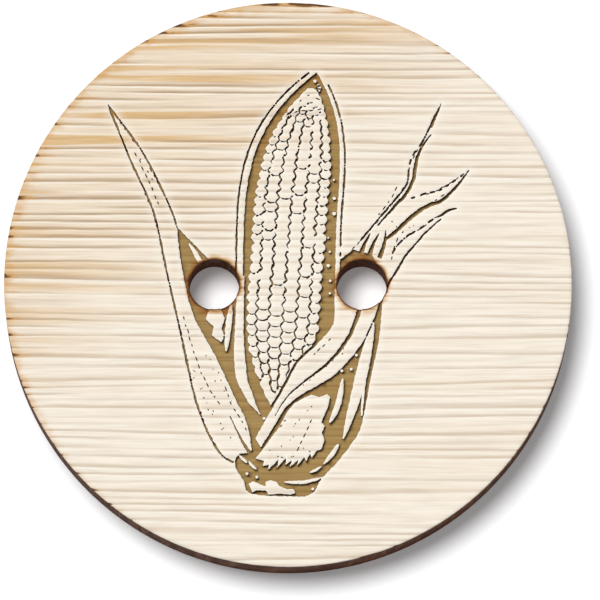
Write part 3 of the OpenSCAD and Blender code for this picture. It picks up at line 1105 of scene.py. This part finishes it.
@dataclass
class CornButton:
    """The button: a disc of thin board with an engraved face, two holes and charred cut edges."""

    outline: FaceOutline
    strokes: list[np.ndarray]
    nick_depth: float = 0.2
    round_width: float = 0.085
    round_drop: float = 0.03
    # How wide the paler face beside the engraving is: sanding wear and painted highlight.
    rub_and_highlight_width: tuple[float, float] = (0.075, 0.3)
    rub_and_highlight_haze: float = 0.4
    # Width, strength and side of the painted shadow on the engraved floor below the walls.
    painted_shadow_width: float = 0.08
    painted_shadow_level: float = 0.75
    painted_shadow_way: tuple[float, float] = (-0.71, 0.71)
    grid: tuple[float, float] = (0.32, 0.06)
    back_grid: tuple[float, float] = (0.36, 0.17)
    grid_slip: float = 0.22
    grid_rim_gap: float = 0.04
    grid_hole_gap: float = 0.05
    grid_line_gap: float = 0.06
    grid_back_gap: float = 0.1
    edge_rows: tuple[float, float] = (0.035, 0.085)
    edge_row_gap: float = 0.8
    rim_parts: int = 720
    hole_parts: int = 96
    rim_lines: int = 150
    hole_lines: int = 22
    # Share and number of the waves that the upright lines of a cut are made of.
    line_waves: tuple[tuple[float, float], ...] = ((0.5, 1.0), (0.3, 1.7), (0.2, 2.9))
    line_uneven: tuple[float, float] = (0.9, 1.1)
    line_swing: float = 1.2
    lines_per_swing: float = 9
    lip: float = 0.12
    # How far down the wall each ring of the rim or of a hole lies, and the holes' roughness there.
    rim_rings: tuple[float, ...] = (0.14, 0.32, 0.5, 0.68, 0.86)
    hole_rings: tuple[tuple[float, float], ...] = (
        (0.25, 0.8),
        (0.5, 1.0),
        (0.75, 1.0),
        (0.97, 0.4),
        (1.0, 0.0),
    )
    # Roughness of the rim at its upper and its lower break, and how much it loses between them.
    break_rough: tuple[float, float] = (0.25, 0.35)
    rough_loss: float = 0.3
    # How far the rounding of the breaks lies inside and below their corner.
    break_bulge: tuple[float, float] = (0.32, 0.3)
    striation: float = 0.014
    back_flare: float = 0.028
    relief: float = 0.013
    rim_fade: float = 0.15
    grain_fade: float = 0.1
    edge_grain: float = 0.15
    floor_grain: float = 0.45
    back_grain: float = 0.6
    back_fade: float = 0.2
    rim_rub: float = 0.12
    hole_shade: float = 0.6
    seed: int = 17
    shell: Shell = field(default_factory=Shell)
    atlas: Atlas = field(default_factory=Atlas)

    def build(self, grain: Grain, finishes: list[bpy.types.Material]) -> bpy.types.Object:
        """Builds the piece.

        Args:
            grain: The grain of the board.
            finishes: The materials, in the order of Finish.

        Returns:
            The finished object.
        """
        loops = self._face()
        feet = [self._rim(loops[0])]
        feet += [self._bore(index + 1, loop) for index, loop in enumerate(loops[1:])]
        self._back(feet)
        blank = self.shell.mesh("button_blank")
        for finish in finishes:
            blank.materials.append(finish)
        inputs = dict(zip(FINISH_INPUTS, finishes))
        mesh = grown_mesh(blank, self._relief_tree(grain), inputs)
        mesh.name = "engraved_button"
        mesh.attributes.remove(mesh.attributes[Mark.GRAIN.value])
        mesh.attributes.remove(mesh.attributes[Mark.FINISH.value])
        return in_scene("engraved_button", mesh)

    def _ring_points(self, hole: Hole, anchors: np.ndarray) -> np.ndarray:
        """Draws a hole's circle through the points at which outlines meet it.

        Args:
            hole: The hole.
            anchors: Points that lie on any of the holes.

        Returns:
            The points of the circle in order.
        """
        near = anchors[np.abs(hole.gap(anchors)) < ON_WALL]
        angles = np.arctan2(near[:, 1] - hole.y, near[:, 0] - hole.x)
        even = np.linspace(-math.pi, math.pi, self.hole_parts, endpoint=False)
        if len(angles):
            apart = np.abs(np.angle(np.exp(1j * (even[:, None] - angles))))
            even = even[apart.min(1) > math.pi / self.hole_parts]
        around = np.stack([np.cos(even), np.sin(even)], 1)
        circle = np.array([hole.x, hole.y]) + hole.radius * around
        points, turns = np.concatenate([circle, near]), np.concatenate([even, angles])
        return points[np.argsort(turns)]

    def _grid_points(self, pitch: tuple[float, float], seed: int) -> np.ndarray:
        """Strews points over the disc in rows along the grain.

        Args:
            pitch: Distance between points along and across the grain.
            seed: Seed of the small slips of the points.

        Returns:
            The points.
        """
        reach = self.outline.face_radius - self.grid_rim_gap
        x, y = (np.arange(-reach, reach, step) for step in pitch)
        points = np.stack(np.meshgrid(x, y), -1).reshape(-1, 2)
        draw = np.random.default_rng(seed)
        points = points + draw.uniform(-self.grid_slip, self.grid_slip, points.shape) * pitch
        points = points[np.hypot(*points.T) < reach]
        for hole in self.outline.holes:
            points = points[hole.gap(points) > self.grid_hole_gap]
        return points

    def _drawing(self) -> tuple[Plan, KDTree, np.ndarray]:
        """Draws every line of the engraved side and strews points between them.

        Returns:
            The drawing, a tree of the points along engraved and hole edges, and the way from each
            of these points to the face, which is zero at the holes.
        """
        runs, anchors = self.outline.engraved()
        plan, samples, inset, ways = Plan(), [], [], []
        for run in runs:
            plan.chain(run, False)
            middle = (run[1:] + run[:-1]) / 2
            samples += [run, middle]
            along = (run[-1] - run[0]) / max(math.dist(run[0], run[-1]), NO_LENGTH)
            inward = np.array([-along[1], along[0]])
            ways.append(np.tile(inward, (len(run) + len(middle), 1)))
            beside = np.concatenate([run[:-1], middle])
            inset += [(beside + inward * step, step) for step in self.edge_rows]
        turn = np.linspace(0, 2 * math.pi, self.rim_parts, endpoint=False)
        plan.chain(np.stack([np.cos(turn), np.sin(turn)], 1) * self.outline.face_radius, True)
        for hole in self.outline.holes:
            circle = self._ring_points(hole, anchors)
            plan.chain(circle, True)
            samples.append(circle)
            ways.append(np.zeros_like(circle))
            outward = (circle - (hole.x, hole.y)) / hole.radius
            inset += [(circle + outward * step, step) for step in self.edge_rows]
        for stroke in self.strokes:
            plan.chain(stroke, True)
        edge = np.concatenate(samples)
        near = self._tree(edge)
        for points, step in inset:
            clear = self._gaps(near, points) > self.edge_row_gap * step
            for hole in self.outline.holes:
                clear &= hole.gap(points) > 0
            plan.scatter(points[clear])
        lines = self._tree(np.concatenate([edge, *self.strokes]))
        grid = self._grid_points(self.grid, self.seed)
        plan.scatter(grid[self._gaps(lines, grid) > self.grid_line_gap])
        return plan, near, np.concatenate(ways)

    @staticmethod
    def _tree(points: np.ndarray) -> KDTree:
        """Returns a search tree of flat points."""
        tree = KDTree(len(points))
        for index, (x, y) in enumerate(points):
            tree.insert((x, y, 0), index)
        tree.balance()
        return tree

    @staticmethod
    def _gaps(tree: KDTree, points: np.ndarray) -> np.ndarray:
        """Returns the distance of flat points from the nearest point of a tree."""
        return np.array([tree.find((x, y, 0))[2] for x, y in points])

    def _levels(self, points: np.ndarray, triangles: np.ndarray, region: np.ndarray) -> np.ndarray:
        """Finds the level of each triangle of the engraved side.

        Args:
            points: Points of the drawing.
            triangles: Its triangles.
            region: The region of each triangle.

        Returns:
            A Level for each triangle.
        """
        a, b, c = (points[triangles[:, k]] for k in range(3))
        area, middle = np.cross(b - a, c - a), (a + b + c) / 3
        solid = self.outline.level_below()
        corner, stroke_faces = 0, []
        for stroke in self.strokes:
            stroke_faces.append(list(range(corner, corner + len(stroke))))
            corner += len(stroke)
        flat = np.concatenate(self.strokes)
        strokes = BVHTree.FromPolygons([(x, y, 0.0) for x, y in flat], stroke_faces)
        half_way = (self.outline.face_z + self.outline.floor_z) / 2
        order = np.lexsort((-area, region))
        firsts = order[np.unique(region[order], return_index=True)[1]]
        found = {}
        for item in firsts.tolist():
            spot = middle[item]
            above = Vector((spot[0], spot[1], 2 * self.outline.face_z))
            hit = solid.ray_cast(above, DOWN)[0]
            if any(hole.gap(spot) < 0 for hole in self.outline.holes):
                kind = Level.OPEN
            elif hit is not None and hit.z < half_way:
                kind = Level.FLOOR
            elif strokes.ray_cast(above, DOWN)[0] is not None:
                kind = Level.NICK
            else:
                kind = Level.FACE
            found[int(region[item])] = int(kind)
        return np.array([found[int(item)] for item in region])

    def _face(self) -> list[np.ndarray]:
        """Builds the face, the engraved floor, the fine strokes and the walls between them.

        Returns:
            For the rim and each hole, the loop of points that its wall hangs from.
        """
        plan, near, ways = self._drawing()
        points, triangles, barred = plan.mesh()
        count = len(points)
        level = self._levels(points, triangles, regions(triangles, barred, count))
        heights = (
            self.outline.face_z,
            self.outline.face_z - self.nick_depth,
            self.outline.floor_z,
            self.outline.floor_z - self.lip,
        )
        copies = np.full((count, len(Level)), -1)
        for kind in Level:
            used = np.unique(triangles[level == kind])
            places = np.column_stack([points[used], np.full(len(used), heights[kind])])
            nearest, gap = np.array([near.find((x, y, 0))[1:] for x, y in points[used]]).T
            closeness = np.clip(1 - gap / self.round_width, 0, 1)
            rim_gap = self.outline.face_radius - np.hypot(*points[used].T)
            inner = np.clip(rim_gap / self.rim_fade, 0, 1)
            if kind == Level.FACE:
                places[:, 2] -= self.round_drop * closeness**2
                share = inner * np.clip(gap / self.grain_fade, self.edge_grain, 1)
                # The face is paler near every engraved edge and hole: sanding wear and painted
                # highlight.
                crisp, haze = (np.clip(1 - gap / width, 0, 1) for width in self.rub_and_highlight_width)
                rub_and_painted_light = inner * np.maximum(crisp, self.rub_and_highlight_haze * haze)
            elif kind == Level.FLOOR:
                share = self.floor_grain * np.clip(gap / self.grain_fade, 0, 1)
                # Painted shadow on the floor below its upper-left walls, as the reverse of rubbing.
                shadow_side = np.clip(ways[nearest.astype(int)] @ self.painted_shadow_way, 0, 1)
                rub_and_painted_light = -self.painted_shadow_level * shadow_side * np.clip(1 - gap / self.painted_shadow_width, 0, 1)
            else:
                share, rub_and_painted_light = 0.0, 0.0
            if kind == Level.OPEN:
                edge = np.zeros(len(used), bool)
                for hole in self.outline.holes:
                    edge |= np.abs(hole.gap(points[used])) < ON_WALL
                used, places = used[edge], places[edge]
            copies[used, kind] = self.shell.add_points(places, share, rub_and_painted_light)
        for kind, finish in LEVEL_FINISH.items():
            part = triangles[level == kind]
            chart = self.atlas.on_face(points[part.ravel()])
            self.shell.faces += [tuple(face) for face in copies[part, kind].tolist()]
            self.shell.finish += [int(finish)] * len(part)
            self.shell.chart += [tuple(place) for place in chart.tolist()]
        return self._walls(points, triangles, level, copies)

    def _walls(
        self, points: np.ndarray, triangles: np.ndarray, level: np.ndarray, copies: np.ndarray
    ) -> list[np.ndarray]:
        """Hangs a wall from every edge at which the level drops.

        Args:
            points: Points of the drawing.
            triangles: Its triangles.
            level: The level of each triangle.
            copies: The number of each point at each level, or -1.

        Returns:
            For the rim and each hole, the loop of points that its wall hangs from.
        """
        places = np.concatenate(self.shell.points)
        edges, left, right = neighbours(triangles, len(points))
        after: list[dict[int, int]] = [{} for _ in range(1 + len(self.outline.holes))]
        for (i, j), one, other in zip(edges.tolist(), left.tolist(), right.tolist()):
            upper = level[one]
            if other < 0:
                after[0][int(copies[i, Level.FACE])] = int(copies[j, Level.FACE])
                continue
            lower = level[other]
            if lower <= upper:
                continue
            down = [int(copies[i, k]) for k in range(upper, lower + 1) if copies[i, k] >= 0]
            up = [int(copies[j, k]) for k in range(lower, upper - 1, -1) if copies[j, k] >= 0]
            face = down + up
            spots = places[face]
            chart = self.atlas.on_wall(spots, spots[0], self.outline.face_z)
            self.shell.add_face(face, Finish.CHARRED, chart)
            if lower == Level.OPEN:
                which = int(np.argmin([abs(hole.gap(points[i])) for hole in self.outline.holes]))
                after[1 + which][int(copies[i, Level.OPEN])] = int(copies[j, Level.OPEN])
        return [self._loop(links) for links in after]

    @staticmethod
    def _loop(links: dict[int, int]) -> np.ndarray:
        """Returns the points of a closed loop in order, from each point's next one."""
        start = min(links)
        loop, item = [start], links[start]
        while item != start:
            loop.append(item)
            item = links[item]
        return np.array(loop)

    def _wall(
        self, index: int, loop: np.ndarray, turn: np.ndarray, start: float, rings: list[Ring]
    ) -> np.ndarray:
        """Hangs the wall of the rim or a hole from a loop.

        Args:
            index: 0 for the rim, or the number of the hole.
            loop: The loop.
            turn: Angles of its points.
            start: Its height.
            rings: The rings of the wall, from the top.

        Returns:
            The lowest ring.
        """
        middle = self._middle(index)
        top, size = self.outline.face_z, len(loop)
        upper, depth = loop, 1 - start / top
        for ring in rings:
            x, y = middle.x + ring.far * np.cos(turn), middle.y + ring.far * np.sin(turn)
            places = np.column_stack([x, y, np.full(size, ring.height)])
            lower = self.shell.add_points(places, 0.0, ring.rub_and_painted_light)
            below = 1 - ring.height / top
            for k in range(size):
                n = (k + 1) % size
                face = [int(upper[n]), int(upper[k]), int(lower[k]), int(lower[n])]
                corners = ((k + 1, depth), (k, depth), (k, below), (k + 1, below))
                chart = [self.atlas.on_ring(index, step / size, down) for step, down in corners]
                self.shell.add_face(face, ring.finish, chart)
            upper, depth = lower, below
        return upper

    def _middle(self, index: int) -> Hole:
        """Returns the circle of the rim, which is 0, or of a hole."""
        return self.outline.holes[index - 1] if index else Hole(0.0, 0.0, self.outline.radius)

    def _turns(self, index: int, loop: np.ndarray) -> np.ndarray:
        """Returns the angles of a loop's points round the middle of the rim or a hole."""
        middle, spots = self._middle(index), np.concatenate(self.shell.points)[loop]
        return np.arctan2(spots[:, 1] - middle.y, spots[:, 0] - middle.x)

    def _wavering(self, turn: np.ndarray, seed: int, scale: float) -> np.ndarray:
        """Returns the fine upright lines that the beam leaves on a cut edge, from 0 to 1.

        Args:
            turn: Angles round the cut.
            seed: Seed of the lines.
            scale: Number of lines round the cut.

        Returns:
            How deep the cut is at each angle.
        """
        draw = np.random.default_rng(seed)
        found = np.zeros(len(turn))
        for share, pace in self.line_waves:
            waves = round(scale * pace * draw.uniform(*self.line_uneven))
            slow = turn * round(scale / self.lines_per_swing)
            swing = self.line_swing * np.sin(slow + draw.uniform(*SHIFTS))
            found += share * (0.5 + 0.5 * np.sin(turn * waves + swing + draw.uniform(*SHIFTS)))
        return found

    def _rim(self, loop: np.ndarray) -> np.ndarray:
        """Builds the cut edge round the button, with sanded breaks above and below.

        Args:
            loop: The edge of the face.

        Returns:
            The edge of the back.
        """
        turn = self._turns(0, loop)
        lines = self._wavering(turn, self.seed + 1, self.rim_lines)
        top, radius = self.outline.face_z, self.outline.radius
        inset = radius - self.outline.face_radius
        bulge, rise = (inset * share for share in self.break_bulge)
        # How far each ring lies inside the full radius, its height, its finish and its roughness.
        profile = [
            (bulge, top - rise, Finish.SANDED, 0.0),
            (0.0, top - inset, Finish.SANDED, self.break_rough[0]),
        ]
        for share in self.rim_rings:
            height = top - inset - share * (top - 2 * inset)
            profile.append((0.0, height, Finish.CHARRED, 1.0 - self.rough_loss * share))
        profile += [
            (0.0, inset, Finish.CHARRED, self.break_rough[1]),
            (bulge, rise, Finish.CHARRED, 0.0),
            (inset, 0.0, Finish.SANDED, 0.0),
        ]
        rings = []
        for back, height, finish, rough in profile:
            far = radius - back - self.striation * rough * lines
            rub_and_painted_light = self.rim_rub * (1 - lines) * rough if finish == Finish.CHARRED else 0.0
            rings.append(Ring(far, height, finish, rub_and_painted_light))
        return self._wall(0, loop, turn, top, rings)

    def _bore(self, index: int, loop: np.ndarray) -> np.ndarray:
        """Builds the wall of a hole below its lip.

        Args:
            index: Number of the hole, from 1.
            loop: The lip of the hole.

        Returns:
            The edge of the hole on the back.
        """
        turn = self._turns(index, loop)
        lines = self._wavering(turn, self.seed + 1 + index, self.hole_lines)
        start, radius = self.outline.floor_z - self.lip, self._middle(index).radius
        # Painted light: the bore's walls take a lighter brown, darker along the beam's lines.
        rub_and_painted_light = 1 - self.hole_shade * lines
        rings = []
        for share, rough in self.hole_rings:
            flare = self.back_flare if share == 1 else self.striation * rough * lines
            rings.append(Ring(radius + flare, start * (1 - share), Finish.CHARRED, rub_and_painted_light))
        return self._wall(index, loop, turn, start, rings)

    def _back(self, feet: list[np.ndarray]) -> None:
        """Closes the back between the edges of the rim and the holes.

        Args:
            feet: The edge of the rim, then of each hole.
        """
        places = np.concatenate(self.shell.points)
        plan, numbers = Plan(), []
        for foot in feet:
            plan.chain(places[foot][:, :2], True)
            numbers += foot.tolist()
        edge = places[numbers][:, :2]
        near = self._tree(edge)
        grid = self._grid_points(self.back_grid, self.seed + 9)
        plan.scatter(grid[self._gaps(near, grid) > self.grid_back_gap])
        points, triangles, _ = plan.mesh()
        middle = points[triangles].mean(1)
        for hole in self.outline.holes:
            keep = hole.gap(middle) > self.back_flare
            middle, triangles = middle[keep], triangles[keep]
        index, spare = np.empty(len(points), int), []
        for item in np.unique(triangles):
            x, y = points[item]
            _, found, gap = near.find((x, y, 0))
            if gap < 1 / MATCH_STEPS:
                index[item] = numbers[found]
            else:
                spare.append((item, gap))
        items = np.array([item for item, _ in spare])
        gaps = np.array([gap for _, gap in spare])
        flat = np.column_stack([points[items], np.zeros(len(items))])
        share = -np.clip(gaps / self.back_fade, 0, 1) * self.back_grain
        index[items] = self.shell.add_points(flat, share)
        chart = self.atlas.on_back(points)
        for face in triangles[:, ::-1]:
            corners = [tuple(place) for place in chart[face].tolist()]
            self.shell.add_face(index[face].tolist(), Finish.SANDED, corners)

    def _relief_tree(self, grain: Grain) -> bpy.types.NodeTree:
        """Builds the tree that presses the grain into the wood and gives each surface its finish.

        Args:
            grain: The grain of the board.

        Returns:
            The node group.
        """
        inputs = {
            "Blank": ("Geometry", None),
            **grain.sockets(),
            "Relief": ("Float", self.relief * MM),
            **{name: ("Material", None) for name in FINISH_INPUTS},
        }
        outputs = {"Button": ("Geometry", None)}
        sketch = NodeGroup("grain_relief", "GeometryNodeTree", inputs, outputs)
        given = sketch.given
        ring = grain.fields(sketch, sketch.node("GeometryNodeInputPosition", {})[0])["Ring"]
        share, kind = (
            sketch.node("GeometryNodeInputNamedAttribute", {"Name": mark.value}, data_type=data)
            for mark, data in ((Mark.GRAIN, "FLOAT"), (Mark.FINISH, "INT"))
        )
        drop = sketch.times(ring, given["Relief"], share[0], -1.0)
        offset = {"Geometry": given["Blank"], "Offset": sketch.vector(0.0, 0.0, drop)}
        pressed = sketch.node("GeometryNodeSetPosition", offset)[0]
        shape = sketch.node("GeometryNodeRealizeInstances", {0: pressed})[0]
        worn = next(socket for socket in kind if socket.enabled)
        for finish, name in zip(Finish, FINISH_INPUTS):
            pair = {2: worn, 3: int(finish)}
            chosen = sketch.node("FunctionNodeCompare", pair, data_type="INT", operation="EQUAL")
            dress = {"Geometry": shape, "Selection": chosen[0], "Material": given[name]}
            shape = sketch.node("GeometryNodeSetMaterial", dress)[0]
        return sketch.finished({0: shape})


@dataclass
class Studio:
    """The camera above the button, a white table and the light of a large soft lamp."""

    face_z: float
    pixels_per_mm: float = 22.72
    tilt: float = 6.5
    lens: float = 1200.0
    aim: tuple[float, float] = (0.528, -0.7)
    lamp_lean: float = 16.5
    lamp_turn: float = 45.0
    lamp_spread: float = 22.0
    lamp_level: float = 0.84
    sky_level: float = 0.16
    table_half: float = 0.6
    table_drop: float = 0.004
    table_colour: Colour = (0.94, 0.94, 0.945, 1.0)
    table_glow: float = 0.16

    def build(self) -> None:
        """Sets up the camera, the table, the lamp and the sky."""
        self._camera()
        self._table()
        self._lamp()
        self._sky()
        bpy.context.scene.view_settings.view_transform = "Standard"

    def _camera(self) -> None:
        """Looks down on the button from a little below its middle, as in the photograph."""
        data = bpy.data.cameras.new("camera")
        data.lens = self.lens
        data.dof.use_dof = False
        lean = math.radians(self.tilt)
        back = Vector((0.0, -math.sin(lean), math.cos(lean)))
        width = IMAGE_WIDTH / self.pixels_per_mm * MM
        distance = width / 2 / (data.sensor_width / 2 / self.lens)
        camera = in_scene("camera", data)
        target = Vector((self.aim[0] * MM, self.aim[1] * MM, self.face_z * MM))
        camera.location = target + back * distance
        camera.rotation_euler = (-back).to_track_quat("-Z", "Y").to_euler()
        bpy.context.scene.camera = camera

    def _table(self) -> None:
        """Lays a white table that keeps the button's shadow."""
        half, height = self.table_half, -self.table_drop * MM
        mesh = bpy.data.meshes.new("table")
        flat = ((-half, -half), (half, -half), (half, half), (-half, half))
        corners = [(x, y, height) for x, y in flat]
        mesh.from_pydata(corners, [], [(0, 1, 2, 3)])
        made = bpy.data.materials.new("white_table")
        made.use_nodes = True
        sketch = Sketch(made.node_tree)
        shader = made.node_tree.nodes["Principled BSDF"]
        seen = sketch.node("ShaderNodeLightPath", {})["Is Camera Ray"]
        looks = {
            "Base Color": self.table_colour,
            "Roughness": 1.0,
            "Specular IOR Level": 0.0,
            "Emission Color": WHITE,
            "Emission Strength": sketch.times(seen, self.table_glow),
        }
        sketch.fill(shader, looks)
        mesh.materials.append(made)
        table = in_scene("table", mesh)

    def _lamp(self) -> None:
        """Hangs a broad lamp above the upper left."""
        data = bpy.data.lights.new("lamp", "SUN")
        lean, turn = math.radians(self.lamp_lean), math.radians(self.lamp_turn)
        data.angle = math.radians(self.lamp_spread)
        data.energy = self.lamp_level * math.pi / math.cos(lean)
        out = math.sin(lean)
        toward = Vector((-math.cos(turn) * out, math.sin(turn) * out, math.cos(lean)))
        lamp = in_scene("lamp", data)
        lamp.rotation_euler = (-toward).to_track_quat("-Z", "Y").to_euler()

    def _sky(self) -> None:
        """Lights the shadows evenly and shows white where the camera looks past the table."""
        world = bpy.data.worlds.new("sky")
        world.use_nodes = True
        sketch = Sketch(world.node_tree)
        glow = world.node_tree.nodes["Background"]
        path = sketch.node("ShaderNodeLightPath", {})
        seen = path["Is Camera Ray"]
        for name in ("Is Glossy Ray", "Is Transmission Ray"):
            seen = sketch.math("MAXIMUM", seen, path[name])
        level = sketch.math("MULTIPLY_ADD", seen, 1.0 - self.sky_level, self.sky_level)
        sketch.fill(glow, {"Color": WHITE, "Strength": level})
        bpy.context.scene.world = world


def sewing_holes() -> list[Hole]:
    """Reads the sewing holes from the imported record.

    Returns:
        The holes, in millimetres.
    """
    found = []
    for mount in frame["record"]["mounts"]:
        if mount["kind"] == "bore":
            x, y, _ = mount["pos_m"]
            found.append(Hole(x / MM, y / MM, mount["dims"]["r_mm"]))
    return found


def main() -> None:
    """Builds the studio and the button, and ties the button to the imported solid."""
    logging.basicConfig(level=logging.INFO, format="%(message)s")
    holes = sewing_holes()
    outline = FaceOutline(frame["nodes"][NODE], holes)
    Studio(outline.face_z).build()
    log.info("studio: face at %.2f mm, engraved to %.2f mm", outline.face_z, outline.floor_z)

    grain = Grain()
    stain = HeatStain(outline.radius, abs(holes[0].x), holes[0].radius)
    groups = (grain.group(), stain.group())
    finishes = [finish.material(*groups) for finish in (SANDED_WOOD, BROWNED_WOOD, CHARRED_WOOD)]
    charred = finishes[Finish.CHARRED]

    rows = (
        StrokeRows(
            StrokeKind.VEIN, VEIN_ROWS, spacing=0.3, length=0.2, width=0.062, scatter=0.03, seed=3
        ),
        StrokeRows(
            StrokeKind.STIPPLE,
            STIPPLE_ROWS,
            spacing=0.26,
            length=0.075,
            width=0.06,
            scatter=0.16,
            seed=8,
        ),
        StrokeRows(
            StrokeKind.LINK,
            outline.links(),
            spacing=0.12,
            length=0.18,
            width=0.095,
            scatter=0.008,
            seed=5,
        ),
    )
    strokes = [stroke for row in rows for stroke in row.outlines(charred)]
    log.info("strokes: %d fine strokes along veins and across broken lines", len(strokes))

    button = CornButton(outline, strokes).build(grain, finishes)
    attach(button, BODY)
    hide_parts(NODE)
    log.info("%s: %d faces", button.name, len(button.data.polygons))


if __name__ == "__main__":
    main()
